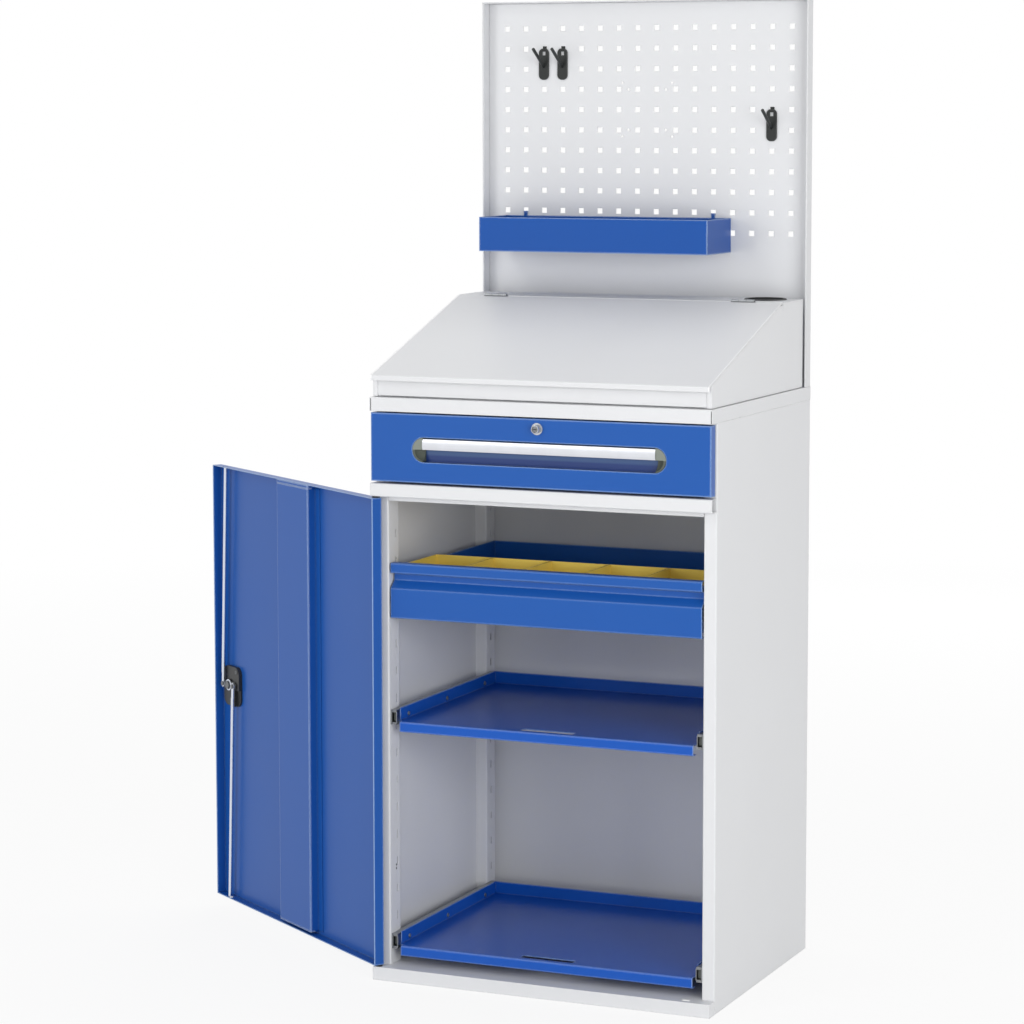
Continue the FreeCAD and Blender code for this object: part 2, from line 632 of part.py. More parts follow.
def lock_bar(side, end_z):
    """Lock bar from its arm pin to the door edge, its eye hammered flat."""
    pin = V(LATCH_X + side * LATCH_ARM, BAR_Y, LATCH_Z)
    along = (V(LATCH_X, BAR_Y, end_z) - pin).normalize()
    flat = V(0, BAR_FLAT / 2, 0)
    across = V(along.z, 0, -along.x) * 4.0
    tongue = prism([pin - flat - across, pin - flat + across, pin - flat + across + along * 26,
                    pin - flat - across + along * 26], flat * 2)
    eye = bar(pin - flat, pin + flat, 6.4)
    shank = bar(pin + along * 22, V(LATCH_X, BAR_Y, end_z), BAR_R)
    hole = bar(pin - flat * 3, pin + flat * 3, LATCH_PIN_R + 0.35)
    return swung(joined(tongue, eye, shank).cut(hole))


def upper_bar():
    """Bar that locks into the middle rail."""
    return lock_bar(1, DOOR_TOP - 0.6)


def lower_bar():
    """Bar that locks into the plinth."""
    return lock_bar(-1, DOOR_BOTTOM + 0.6)


# Lectern.
def on_slope(shape):
    """Place a piece drawn flat, hinge line at the origin, onto the slope of the lid."""
    shape.rotate(V(0, 0, 0), V(1, 0, 0), math.degrees(LID_SLOPE))
    shape.translate(V(0, LID_AXIS_Y, LECTERN_TOP))
    return shape


def under_lid(y, depth=0.0):
    """Height of the line on which the lid rests, less a depth."""
    drop = (SHEET + RUN + depth) / math.cos(LID_SLOPE)
    return LECTERN_TOP - (LID_AXIS_Y - y) * math.tan(LID_SLOPE) - drop


def hinge_notches():
    """Room for the hinge knuckles in the lid and in the rear strip."""
    reach = HINGE_R + 3 * RUN
    return [block((x - HINGE_LENGTH / 2 - 1, x + HINGE_LENGTH / 2 + 1),
                  (LID_AXIS_Y - reach, LID_AXIS_Y + reach), (LECTERN_TOP - 20, LECTERN_TOP + 8))
            for x in (-HINGE_X, HINGE_X)]


def lectern_floor():
    """Bottom plate of the lectern, a little smaller so that a shadow line shows round it."""
    return block((8 - LECTERN_X, LECTERN_X - 8), (LECTERN_FRONT + 8, LECTERN_BACK - 8),
                 (COVER_TOP, LECTERN_Z))


def lectern_side():
    """Left cheek with a front return and a ledge under the lid."""
    x = -LECTERN_X
    rear = LECTERN_BACK - SHEET
    top = LECTERN_TOP - SHEET
    step = LID_AXIS_Y + LID_GAP + SHEET + BEND
    outline = [V(x, LECTERN_FRONT, LECTERN_Z), V(x, rear, LECTERN_Z), V(x, rear, top - BEND),
               V(x, rear - BEND, top), V(x, step, top), V(x, step, top - 14),
               V(x, LID_AXIS_Y - 14, under_lid(LID_AXIS_Y - 14)),
               V(x, LECTERN_FRONT, under_lid(LECTERN_FRONT))]
    cheek = prism(outline, V(SHEET, 0, 0))
    front = block((x, x + LECTERN_RETURN), (LECTERN_FRONT, LECTERN_FRONT + SHEET),
                  (LECTERN_Z, under_lid(LECTERN_FRONT)))
    start, end = LECTERN_FRONT + 4, LID_AXIS_Y - 16
    ledge = prism([V(x, start, under_lid(start)), V(x, end, under_lid(end)),
                   V(x, end, under_lid(end, SHEET)), V(x, start, under_lid(start, SHEET))], V(10, 0, 0))
    foot = block((x, x + LECTERN_FLANGE), (LECTERN_FRONT + 2, rear), (LECTERN_Z, LECTERN_Z + SHEET))
    return joined(cheek, front, ledge, foot)


def lectern_front():
    """Low front wall with flanges above and below; its ends lie behind the returns of the cheeks."""
    y = LECTERN_FRONT + SHEET
    low, high = LECTERN_Z + SHEET, under_lid(y) - 1.0
    path = [(y + LECTERN_FLANGE, high), (y, high), (y, low), (y + LECTERN_FLANGE, low)]
    half = LECTERN_X - LECTERN_RETURN - 2 * SHEET
    end = LECTERN_X - SHEET - RUN
    ends = block((-end, end), (y, y + SHEET), (low + RUN, high - 2 * SHEET))
    return joined(folded(path, "yz", -half, half), ends)


def lectern_back():
    """Rear wall and flat top strip bent from one sheet, with the pen cup hole."""
    front = LID_AXIS_Y + LID_GAP
    path = [(LECTERN_BACK, LECTERN_Z), (LECTERN_BACK, LECTERN_TOP), (front, LECTERN_TOP),
            (front, LECTERN_TOP - 12)]
    sheet = folded(path, "yz", -LECTERN_X, LECTERN_X)
    flange_ends = [block(sorted((s * (LECTERN_X - 1.5), s * (LECTERN_X + 1))), (front - 1, front + 4),
                         (LECTERN_TOP - 20, LECTERN_TOP - 4)) for s in (-1, 1)]
    hole = bar(V(CUP_X, CUP_Y, LECTERN_TOP - 9), V(CUP_X, CUP_Y, LECTERN_TOP + 9), CUP_R + RUN)
    return sheet.cut(hinge_notches() + flange_ends + [hole])


def pen_cup():
    """Round plastic cup with a bevelled rim, let into the rear strip for pens."""
    foot = LECTERN_TOP - CUP_H
    bore, rim = CUP_R - CUP_WALL, CUP_R + CUP_RIM
    outline = [(0, foot), (CUP_R - 1, foot), (CUP_R, foot + 1), (CUP_R, LECTERN_TOP), (rim, LECTERN_TOP),
               (rim, LECTERN_TOP + 1), (rim - 1.5, LECTERN_TOP + 2.5), (bore, LECTERN_TOP + 2.5),
               (bore, foot + CUP_WALL), (0, foot + CUP_WALL)]
    corners = [V(CUP_X + r, CUP_Y, z) for r, z in outline]
    return Part.Face(Part.makePolygon(corners + corners[:1])).revolve(V(CUP_X, CUP_Y, 0), V(0, 0, 1), 360)


def lid():
    """Writing lid: one sheet with a front lip and a rear stiffening fold."""
    down = V(-math.sin(LID_SLOPE), -math.cos(LID_SLOPE), 0)
    lip, rear = down * LID_LIP, down * LID_REAR_FOLD
    path = [(rear.x - LID_GAP, rear.y), (-LID_GAP, 0), (-LID_LENGTH, 0), (lip.x - LID_LENGTH, lip.y)]
    sheet = on_slope(folded(path, "yz", -LECTERN_X, LECTERN_X))
    rear_ends = [block(sorted((s * (LECTERN_X - 12), s * (LECTERN_X + 1))), (LID_AXIS_Y - 12, LID_AXIS_Y),
                       (LECTERN_TOP - 25, LECTERN_TOP - 5)) for s in (-1, 1)]
    return sheet.cut(hinge_notches() + rear_ends)


def lid_stiffeners():
    """Two channels welded under the lid along the slope."""
    x, half = LECTERN_X - LID_CHANNEL_INSET, LID_CHANNEL_W / 2
    path = [(-x - half, -SHEET), (-x - half, -LID_CHANNEL_D), (half - x, -LID_CHANNEL_D), (half - x, -SHEET)]
    return on_slope(both_sides(folded(path, "xz", 30 - LID_LENGTH, -20)))


def hinge_knuckle(x, length):
    """One bored hinge knuckle on the lid axis."""
    centre = V(x - length / 2, LID_AXIS_Y, LECTERN_TOP)
    end = centre + V(length, 0, 0)
    return bar(centre, end, HINGE_R).cut(bar(centre - V(1, 0, 0), end + V(1, 0, 0), HINGE_PIN_R + 0.3))


def hinge_leaf(x, length, forward):
    """Flat leaf that runs from the knuckle under the lid or under the strip."""
    half = length / 2
    y = (-26, -2.2) if forward else (2.2, 26)
    leaf = block((x - half, x + half), y, (-SHEET - 1.4, -SHEET))
    if forward:
        return on_slope(leaf)
    leaf.translate(V(0, LID_AXIS_Y, LECTERN_TOP))
    return leaf


def lid_hinge_fixed():
    """Leaf with two outer knuckles on the rear strip, left and right."""
    x = -HINGE_X
    end = HINGE_LENGTH / 3 - RUN
    offset = HINGE_LENGTH / 2 - end / 2
    wide = hinge_leaf(x, HINGE_LENGTH, False).cut(
        block((x - HINGE_LENGTH / 6 - RUN, x + HINGE_LENGTH / 6 + RUN),
              (0, LID_AXIS_Y + HINGE_R + 1), (0, HEIGHT)))
    return both_sides(joined(wide, hinge_knuckle(x - offset, end), hinge_knuckle(x + offset, end)))


def lid_hinge_moving():
    """Leaf with the middle knuckle under the lid, left and right."""
    x = -HINGE_X
    middle = HINGE_LENGTH / 3 - RUN
    return both_sides(joined(hinge_leaf(x, middle, True), hinge_knuckle(x, middle)))


def lid_hinge_pins():
    """Pins of the two lid hinges."""
    half = HINGE_LENGTH / 2
    pin = bar(V(-HINGE_X - half, LID_AXIS_Y, LECTERN_TOP), V(half - HINGE_X, LID_AXIS_Y, LECTERN_TOP),
              HINGE_PIN_R)
    return both_sides(pin)


# Panel and what hangs in it.
def panel_post():
    """Left edge of the panel: an angle whose front edge is hemmed to double thickness."""
    y = BACK - PANEL_D
    ends = (COVER_TOP, HEIGHT - SHEET)
    angle = folded([(LEFT + PANEL_WEB, BACK), (LEFT, BACK), (LEFT, y)], "xy", *ends)
    return joined(angle, block((LEFT, LEFT + 2 * SHEET), (y, y + PANEL_HEM), ends))


def panel_top_rail():
    """Top edge of the panel: an angle, hemmed as the posts are, that closes them."""
    y = BACK - PANEL_D
    angle = folded([(BACK, HEIGHT - PANEL_WEB), (BACK, HEIGHT), (y, HEIGHT)], "yz", LEFT, RIGHT)
    for side in (-1, 1):
        rear = block(sorted((side * (RIGHT - PANEL_WEB - RUN), side * (RIGHT + 1))), (BACK - 6, BACK + 1),
                     (HEIGHT - 40, HEIGHT - SHEET))
        angle = angle.cut(rear)
    half = RIGHT - 2 * SHEET - RUN
    return joined(angle, block((-half, half), (y, y + PANEL_HEM), (HEIGHT - 2 * SHEET, HEIGHT)))


def hole_x(column):
    """Centre of a hole column, counted from the left."""
    return (column - (HOLE_COLUMNS - 1) / 2) * PITCH


def perforated_panel():
    """Flat sheet with the square hole grid and two squares of screen mounting holes."""
    y = (PANEL_FACE_Y, PANEL_FACE_Y + SHEET)
    through = (y[0] - 2, y[1] + 2)
    edge = RIGHT - SHEET - BEND
    sheet = block((-edge, edge), y, (COVER_TOP, HEIGHT - SHEET - BEND))
    cuts = []
    for column in range(HOLE_COLUMNS):
        x = hole_x(column)
        for row in range(HOLE_ROWS):
            z = HOLE_TOP - row * PITCH
            cuts.append(block((x - HOLE / 2, x + HOLE / 2), through, (z - HOLE / 2, z + HOLE / 2)))
    for span in SCREEN_SPANS:
        for sx in (-span / 2, span / 2):
            for sz in (-span / 2, span / 2):
                z = SCREEN_Z + sz
                cuts.append(bar(V(sx, through[0], z), V(sx, through[1], z), SCREEN_HOLE_R))
    return sheet.cut(cuts)


def panel_tongue(x, z, width, tail):
    """Tongue that passes through a panel hole at a height; its tail runs up or down behind the sheet."""
    side = (x - width / 2, x + width / 2)
    rear = PANEL_FACE_Y + SHEET
    neck = block(side, (PANEL_FACE_Y - HANG_GAP, rear + TONGUE_BEHIND), (z, z + TONGUE_T))
    end = sorted((z, z + tail)) if tail < 0 else (z, z + max(tail, TONGUE_T))
    return joined(neck, block(side, (rear + 0.3, rear + TONGUE_BEHIND), end))


def storage_tray():
    """Open tray; two tabs on its rear wall hang in the last row of holes above it."""
    x = (hole_x(0) - 3, hole_x(0) - 3 + TRAY_COLUMNS * PITCH)
    y = (PANEL_FACE_Y - TRAY_D, PANEL_FACE_Y - HANG_GAP)
    top = TRAY_Z + TRAY_H
    tray = pan(x, y, (TRAY_Z, top), "+z", SHEET)
    catch = TRAY_ROW - HOLE / 2 + RUN
    tabs = []
    for column in (1, TRAY_COLUMNS - 1):
        tab_x = hole_x(column)
        tabs.append(block((tab_x - 4, tab_x + 4), (y[1] - SHEET, y[1]), (top - SHEET, catch + TONGUE_T)))
        tabs.append(panel_tongue(tab_x, catch, 7.0, -8.0))
    return joined(tray, *tabs)


def tool_hook(column, row):
    """Hook: back plate with a window, one rising prong, and tongues into two holes of the panel."""
    x, z = hole_x(column), HOLE_TOP - row * PITCH
    face = PANEL_FACE_Y - HANG_GAP
    plate_y = (face - HOOK_T, face)
    plate = block((x - HOOK_W / 2, x + HOOK_W / 2), plate_y, (z + 1 - HOOK_H, z + 1))
    plate = softened(plate, HOOK_W / 2 - 1, lambda c: abs(c.y - face + HOOK_T / 2) < 0.1)
    half = HOOK_WINDOW / 2
    plate = plate.cut(block((x - half, x + half), (face - 9, face + 9), (z - 8.5 - half, z - 8.5 + half)))
    root = V(x, face - HOOK_T, z - HOOK_ROOT)
    reach = V(0, -HOOK_REACH, HOOK_RISE)
    sunk = reach * (HOOK_T / 2 / HOOK_REACH)
    prong = bar(root - sunk, root + reach, HOOK_R)
    tip = Part.makeCone(HOOK_R, HOOK_R - 1.2, 1.2, root + reach, reach)
    upper = panel_tongue(x, z - HOLE / 2 + RUN, 8.0, 14.0)
    lower = panel_tongue(x, z - PITCH - TONGUE_T / 2, 8.0, 0.0)
    return joined(plate, prong, tip, upper, lower)


def tool_hooks():
    """Two hooks side by side at the upper left and one at the right."""
    places = ((2, 1), (3, 1), (HOLE_COLUMNS - 2, 4))
    return Part.makeCompound([tool_hook(column, row) for column, row in places])


# Every piece under the name it is kept by.
PIECES = {
    "base_tray": base_tray,
    "base_stiffener": base_stiffener,
    "side_panel_left": side_panel,
    "side_panel_right": lambda: mirrored(side_panel()),
    "rear_uprights": rear_uprights,
    "back_panel": back_panel,
    "middle_rail": middle_rail,
    "top_cover": top_cover,
    "pivot_bushes": pivot_bushes,
    "top_drawer_box": top_drawer_box,
    "top_drawer_front": top_drawer_front,
    "grip_trough": grip_trough,
    "grip_bar": grip_bar,
    "grip_caps": grip_caps,
    "lock_cylinder": lock_cylinder,
    "lock_plug": lock_plug,
    "inner_drawer_box": inner_drawer_box,
    "inner_drawer_front": inner_drawer_front,
    "insert_bins": insert_bins,
    "upper_shelf": lambda: pull_out_shelf(SHELF_UPPER_Z),
    "lower_shelf": lambda: pull_out_shelf(SHELF_LOWER_Z),
    "door_skin": door_skin,
    "door_stiffener": door_stiffener,
    "door_pivots": door_pivots,
    "lock_case": lock_case,
    "handle_rose": handle_rose,
    "turn_handle": turn_handle,
    "handle_core": handle_core,
    "latch_arm": latch_arm,
    "upper_bar": upper_bar,
    "lower_bar": lower_bar,
    "lectern_floor": lectern_floor,
    "lectern_side_left": lectern_side,
    "lectern_side_right": lambda: mirrored(lectern_side()),
    "lectern_front": lectern_front,
    "lectern_back": lectern_back,
    "pen_cup": pen_cup,
    "lid": lid,
    "lid_stiffeners": lid_stiffeners,
    "lid_hinge_fixed": lid_hinge_fixed,
    "lid_hinge_moving": lid_hinge_moving,
    "lid_hinge_pins": lid_hinge_pins,
    "panel_post_left": panel_post,
    "panel_post_right": lambda: mirrored(panel_post()),
    "panel_top_rail": panel_top_rail,
    "perforated_panel": perforated_panel,
    "storage_tray": storage_tray,
    "tool_hooks": tool_hooks,
}

# Four runs of slides, each with a fixed, a middle and a moving pair.
SLIDE_RUNS = {
    "top_drawer": (DRAWER_SLIDE_Z, SLIDE_FRONT),
    "inner_drawer": (INNER_SLIDE_Z, INNER_BOX_Y + RUN),
    "upper_shelf": (SHELF_UPPER_Z + SHELF_SLIDE_RISE, SLIDE_FRONT),
    "lower_shelf": (SHELF_LOWER_Z + SHELF_SLIDE_RISE, SLIDE_FRONT),
}
SLIDE_MAKERS = {"fixed": slide_fixed, "middle": slide_middle, "moving": slide_moving}

os.makedirs("parts", exist_ok=True)
for name, make in PIECES.items():
    make().exportStep(f"parts/{name}.step")
for run, place in SLIDE_RUNS.items():
    for member, make in SLIDE_MAKERS.items():
        make(*place).exportStep(f"parts/{run}_slides_{member}.step")
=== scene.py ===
import bpy
import numpy as np
from mathutils import Matrix


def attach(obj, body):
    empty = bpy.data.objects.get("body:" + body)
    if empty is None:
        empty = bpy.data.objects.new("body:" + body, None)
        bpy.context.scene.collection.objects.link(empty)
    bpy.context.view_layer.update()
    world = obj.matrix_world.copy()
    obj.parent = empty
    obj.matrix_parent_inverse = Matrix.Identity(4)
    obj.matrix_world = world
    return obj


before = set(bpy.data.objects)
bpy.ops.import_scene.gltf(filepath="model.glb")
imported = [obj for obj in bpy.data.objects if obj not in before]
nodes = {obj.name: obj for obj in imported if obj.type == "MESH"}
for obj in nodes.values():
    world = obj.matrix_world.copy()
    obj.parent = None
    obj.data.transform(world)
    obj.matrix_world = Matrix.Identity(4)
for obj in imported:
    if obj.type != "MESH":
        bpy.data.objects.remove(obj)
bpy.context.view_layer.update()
bpy.context.scene.view_settings.view_transform = "Standard"


# Carcass: base tray, two side skins with their slotted stiles, rear uprights, back wall and middle rail.
# Cold-rolled steel sheet, folded and spot-welded, under a light grey powder coat. The coat has a fine peel
# and clouds a little over large faces; its folds are painted paler, a painted highlight.

def tone(red, green, blue):
    """A colour as it looks, 0 to 255, as linear light: the display curve, undone for each part."""
    parts = (np.array([red, green, blue]) / 255 + 0.055) / 1.055
    return tuple(parts ** 2.4) + (1.0,)


def shade(colour, share, lift=0.0):
    """A colour with each of its parts times a share and plus a lift, at most 1."""
    return tuple(min(1.0, share * part + lift) for part in colour[:3]) + (1.0,)


class Wire:
    """A socket in a material's tree. Arithmetic on it adds Math nodes, and add() any other node."""

    def __init__(self, tree, socket=None):
        self.tree = tree
        self.socket = socket

    def fill(self, node, values):
        """Give a node's sockets their numbers, or link them where a wire is given."""
        for key, value in values.items():
            if isinstance(value, Wire):
                self.tree.links.new(value.socket, node.inputs[key])
            else:
                node.inputs[key].default_value = value

    def add(self, kind, settings=None, values=None, out=0):
        """Add a node of any kind, its settings first and then its sockets, and give one of its outputs."""
        node = self.tree.nodes.new("ShaderNode" + kind)
        for key, value in (settings or {}).items():
            setattr(node, key, value)
        self.fill(node, values or {})
        return Wire(self.tree, node.outputs[out])

    def math(self, operation, first, second=0.0, clamp=False):
        """One Math node on one or two values."""
        return self.add("Math", {"operation": operation, "use_clamp": clamp}, {0: first, 1: second})

    def __add__(self, other):
        return self.math("ADD", self, other)

    def __radd__(self, other):
        return self.math("ADD", other, self)

    def __sub__(self, other):
        return self.math("SUBTRACT", self, other)

    def __rsub__(self, other):
        return self.math("SUBTRACT", other, self)

    def __mul__(self, other):
        return self.math("MULTIPLY", self, other)

    def __rmul__(self, other):
        return self.math("MULTIPLY", other, self)

    def __lt__(self, other):
        return self.math("LESS_THAN", self, other)

    def __gt__(self, other):
        return self.math("GREATER_THAN", self, other)

    def __abs__(self):
        return self.math("ABSOLUTE", self)

    def held(self):
        """The value kept between 0 and 1."""
        return self.math("ADD", self, 0.0, clamp=True)

    def swing(self, amount):
        """How far the value is from its middle, 0.5, times an amount."""
        return (self - 0.5) * amount

    def vector(self, operation, first, second, out=0):
        """One Vector Math node on two vectors."""
        return self.add("VectorMath", {"operation": operation}, {0: first, 1: second}, out)

    def colour(self, first, second):
        """From the first colour to the second as this value goes from 0 to 1."""
        return self.add("Mix", {"data_type": "RGBA"}, {0: self, 6: first, 7: second}, 2)

    def place(self):
        """Object coordinates."""
        return self.add("TexCoord", out="Object")

    def along(self, axis):
        """One of the Object coordinates, X, Y or Z."""
        return self.add("SeparateXYZ", {}, {0: self.place()}, axis)

    def noise(self, scale, detail, squeeze=(1.0, 1.0, 1.0)):
        """Even noise on Object coordinates, so many grains to the metre, times a squeeze for each axis."""
        place = self.vector("MULTIPLY", self.place(), squeeze)
        return self.add("TexNoise", {}, {"Vector": place, "Scale": scale, "Detail": detail})

    def rounded(self, radius):
        """Normals that turn gradually over the edges, as on a fold of this radius."""
        return self.add("Bevel", {"samples": 4}, {"Radius": radius})

    def folds(self, radius):
        """Of rounded normals, a mask: 1 on an outer edge, 0 on a flat or in an inner corner.

        It is how far the rounded normal has turned from the plain one, times how open the place is.
        """
        plain = self.add("NewGeometry", out="Normal")
        alike = self.vector("DOT_PRODUCT", self, plain, "Value")
        clear = self.add("AmbientOcclusion", {"samples": 4, "only_local": True}, {"Distance": 3 * radius}, "AO")
        return ((1 - alike) * 9).held() * ((clear - 0.7) * 5).held()

    def relief(self, strength, depth, normal):
        """This value as the height of a fine relief over the normals given."""
        return self.add("Bump", {}, {"Strength": strength, "Distance": depth, "Height": self, "Normal": normal})


def bare(name):
    """A new material, its wires and its surface shader."""
    material = bpy.data.materials.new(name)
    material.use_nodes = True
    return material, Wire(material.node_tree), material.node_tree.nodes["Principled BSDF"]


def powder_coat(name, colour, fold_highlight, roughness, width=0.0024, shine=0.5, gap_shade=None, crest=None):
    """Baked paint: faint broad clouds in colour and gloss, a fine peel in the surface, and folds painted bright as
    a painted highlight.

    The width is the radius of a fold. An optional joint mask takes the material's wires and gives 1 in an open
    joint, painted dark there as a painted shade. A crest takes the wires and the fold mask, and gives the painted
    highlight's mask.
    """
    material, wire, shader = bare(name)
    cloud = wire.noise(scale=5.0, detail=4.0)
    peel = wire.noise(scale=380.0, detail=1.0)
    rounded = wire.rounded(width)
    bright = rounded.folds(width)
    if crest:
        bright = crest(wire, bright)
    # Where the fold mask is 1 the colour goes over to the fold colour: a painted highlight.
    paint = (bright * 0.8).colour(cloud.colour(shade(colour, 0.95), colour), fold_highlight)
    # Open joints are painted dark: a painted shade.
    if gap_shade:
        paint = gap_shade(wire).colour(paint, tone(70, 72, 74))
    shader.inputs["Specular IOR Level"].default_value = shine
    wire.fill(shader, {
        "Base Color": paint,
        "Roughness": roughness + cloud.swing(0.10) - bright * 0.12,
        "Normal": peel.relief(strength=0.10, depth=0.0003, normal=rounded),
    })
    return material


def coat(material, *names):
    """Give CAD nodes their finish."""
    for name in names:
        for place in nodes[name].material_slots:
            place.material = material


# The fold colour is a painted highlight along the folds.
GREY, GREY_FOLD_HIGHLIGHT, GREY_ROUGHNESS = tone(221, 222, 224), tone(240, 241, 243), 0.40
grey_coat = powder_coat("grey_powder_coat", GREY, GREY_FOLD_HIGHLIGHT, GREY_ROUGHNESS)
coat(grey_coat, "base_tray", "base_stiffener", "side_panel_left", "side_panel_right", "rear_uprights",
     "back_panel", "middle_rail")


# Cover: a cap over the carcass with its edges folded down, of the same sheet under the same coat.
# The folded edges meet at the two front corners in an open joint, painted on the coat as a dark upright line: a
# painted shade.
JOINT_ASIDE, JOINT_HALF_WIDTH = 0.3228, 0.0008
JOINT_MIDDLE, JOINT_HALF_HEIGHT = 1.0465, 0.0108
COVER_FRONT = -0.2588


def corner_joint_shade(wire):
    """1 in the two joints, where the painted shade goes: within their width of |x|, on the front face and between
    the folds above and below.
    """
    beside = abs(abs(wire.along("X")) - JOINT_ASIDE) < JOINT_HALF_WIDTH
    before = wire.along("Y") < COVER_FRONT
    between = abs(wire.along("Z") - JOINT_MIDDLE) < JOINT_HALF_HEIGHT
    return beside * before * between


coat(powder_coat("cover_powder_coat", GREY, GREY_FOLD_HIGHLIGHT, GREY_ROUGHNESS, gap_shade=corner_joint_shade), "top_cover")


# Blind rivets: domed steel heads in a row down each rear flange of the sides, where they hold the back wall.
# They are pulled up before the carcass is painted, so they have its grey coat.

def stand(name, points, faces, smooth, material, body):
    """Make one piece of its points and faces, with its finish and on its body."""
    mesh = bpy.data.meshes.new(name)
    mesh.from_pydata(points, [], faces)
    mesh.polygons.foreach_set("use_smooth", smooth)
    mesh.materials.append(material)
    piece = bpy.data.objects.new(name, mesh)
    bpy.context.collection.objects.link(piece)
    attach(piece, body)


def turned(name, profile, spots, axis, material, body, sides=16, flat=1.0, corner=1.0):
    """Pieces of one kind in one mesh: the profile's (radius, height) pairs go round an axis at each spot.

    A point is spot + height * axis + radius * (flat * C * side + S * cross), and a disc closes either end.
    C and S are cos t and sin t raised to the corner power with their signs kept: 1 gives a round section,
    less gives a block with soft corners.
    """
    axis = np.array(axis, float) / np.linalg.norm(axis)
    side = np.cross(axis, np.roll(axis, 1))
    side /= np.linalg.norm(side)
    turn = np.linspace(0, 2 * np.pi, sides, endpoint=False)
    c, s = (np.sign(wave) * abs(wave) ** corner for wave in (np.cos(turn), np.sin(turn)))
    ring = np.outer(flat * c, side) + np.outer(s, np.cross(axis, side))
    radius, height = np.array(profile, float).T
    one = radius[:, None, None] * ring + height[:, None, None] * axis
    points = np.array(spots, float)[:, None, None, :] + one
    count = len(radius) * sides
    row, column = np.mgrid[0:len(radius) - 1, 0:sides]
    following = (column + 1) % sides
    quads = np.stack([row * sides + column, row * sides + following,
                      (row + 1) * sides + following, (row + 1) * sides + column], -1).reshape(-1, 4)
    discs = [np.arange(sides)[::-1], np.arange(count - sides, count)]
    starts = range(0, count * len(spots), count)
    faces = [(face + start).tolist() for start in starts for face in [*quads, *discs]]
    smooth = np.tile([True] * len(quads) + [False] * len(discs), len(spots))
    stand(name, points.reshape(-1, 3), faces, smooth, material, body)


RIVET = [(0.0040, -0.0002), (0.0040, 0.0003), (0.0034, 0.0009), (0.0022, 0.0013), (0.0009, 0.0015)]
RIVET_ASIDE, BACK_FACE = 0.315, 0.260
rivet_heights = np.arange(0.09, 1.0, 0.15)
turned("back_rivets", RIVET, [(x, BACK_FACE, z) for x in (-RIVET_ASIDE, RIVET_ASIDE) for z in rivet_heights],
       (0, 1, 0), grey_coat, "cabinet")


# Pivot bushes: two flanged nylon sleeves pressed into the base and the rail, in which the door's pins turn.
# Moulded black plastic with a dull, slightly grainy skin.

def moulded(name, colour, roughness, grain):
    """Moulded plastic: an even colour with a trace of flow marks, edges painted paler as a painted highlight, and
    a fine etched grain.
    """
    material, wire, shader = bare(name)
    flow = wire.noise(scale=14.0, detail=3.0)
    etch = wire.noise(scale=grain, detail=2.0)
    rounded = wire.rounded(0.0008)
    edge = rounded.folds(0.0008)
    wire.fill(shader, {
        "Base Color": (flow * 0.6 + edge * 0.4).held().colour(colour, shade(colour, 1.10, 0.006)),
        "Roughness": roughness + etch.swing(0.12),
        "Normal": etch.relief(strength=0.25, depth=0.0001, normal=rounded),
    })
    return material


black_moulding = moulded("black_moulding", tone(34, 35, 36), 0.42, 900.0)
coat(black_moulding, "pivot_bushes")


# Plugs: two small buttons of the same black plastic, one above the other.
# They are pressed into a pair of holes in the return of the left stile.
PLUG = [(0.0019, -0.0002), (0.0019, 0.0003), (0.0012, 0.0006)]
RETURN_FACE, PLUG_BACK, PLUG_HEIGHTS = -0.301, -0.2098, (0.1968, 0.2036)
turned("stile_plugs", PLUG, [(RETURN_FACE, PLUG_BACK, z) for z in PLUG_HEIGHTS], (1, 0, 0),
       black_moulding, "cabinet")


# Slides: three nested channels on each side of the drawers and the pull-out shelves, screwed to the uprights.
# Roll-formed steel strip, zinc plated, with the faint lengthwise lines that the rolls leave.

def plated(name, colour, roughness, lines, squeeze=(1.0, 1.0, 1.0)):
    """Plated or drawn metal: gloss and height vary in lines, which run along the axis that is squeezed."""
    material, wire, shader = bare(name)
    drawn = wire.noise(lines, 3.0, squeeze)
    bloom = wire.noise(scale=40.0, detail=4.0)
    rounded = wire.rounded(0.0008)
    edge = rounded.folds(0.0008)
    shader.inputs["Metallic"].default_value = 1.0
    # Flats vary in broad blooms; edges are painted up to the full colour, a painted highlight.
    wire.fill(shader, {
        "Base Color": (bloom * 0.7 + edge * 0.5).held().colour(shade(colour, 0.82), colour),
        "Roughness": roughness + drawn.swing(0.16) + bloom.swing(0.08),
        "Normal": drawn.relief(strength=0.12, depth=0.0001, normal=rounded),
    })
    return material


zinc = plated("zinc_strip", tone(168, 171, 174), 0.36, 900.0, (1.0, 0.03, 1.0))
for run in ("top_drawer", "inner_drawer", "upper_shelf", "lower_shelf"):
    coat(zinc, run + "_slides_fixed", run + "_slides_middle", run + "_slides_moving")


# Slide fittings: zinc-plated socket screws, three a side, go through the walls of the drawers and shelves into
# the moving channels. Grey plastic buffers, moulded as blocks with soft corners, are pressed into the front ends
# of those channels.
SCREW = [(0.0042, -0.0002), (0.0042, 0.0006), (0.0034, 0.0016), (0.0019, 0.0020), (0.0017, 0.0019),
         (0.0017, 0.0008)]
SCREW_PLACES = (-0.185, -0.02, 0.15)
BUFFER = [(0.0089, 0.0), (0.0089, 0.0180), (0.0081, 0.0194), (0.0062, 0.0200)]
BUFFER_ASIDE, BUFFER_ROOT = 0.2934, 0.0260
RUNS = (  # body, inner face of its walls, front end of its channels and their height
    ("top_drawer", 0.2873, -0.2310, 0.950),
    ("inner_drawer", 0.2873, -0.2164, 0.702),
    ("upper_tray", 0.2871, -0.2310, 0.479),
    ("lower_tray", 0.2871, -0.2310, 0.067),
)
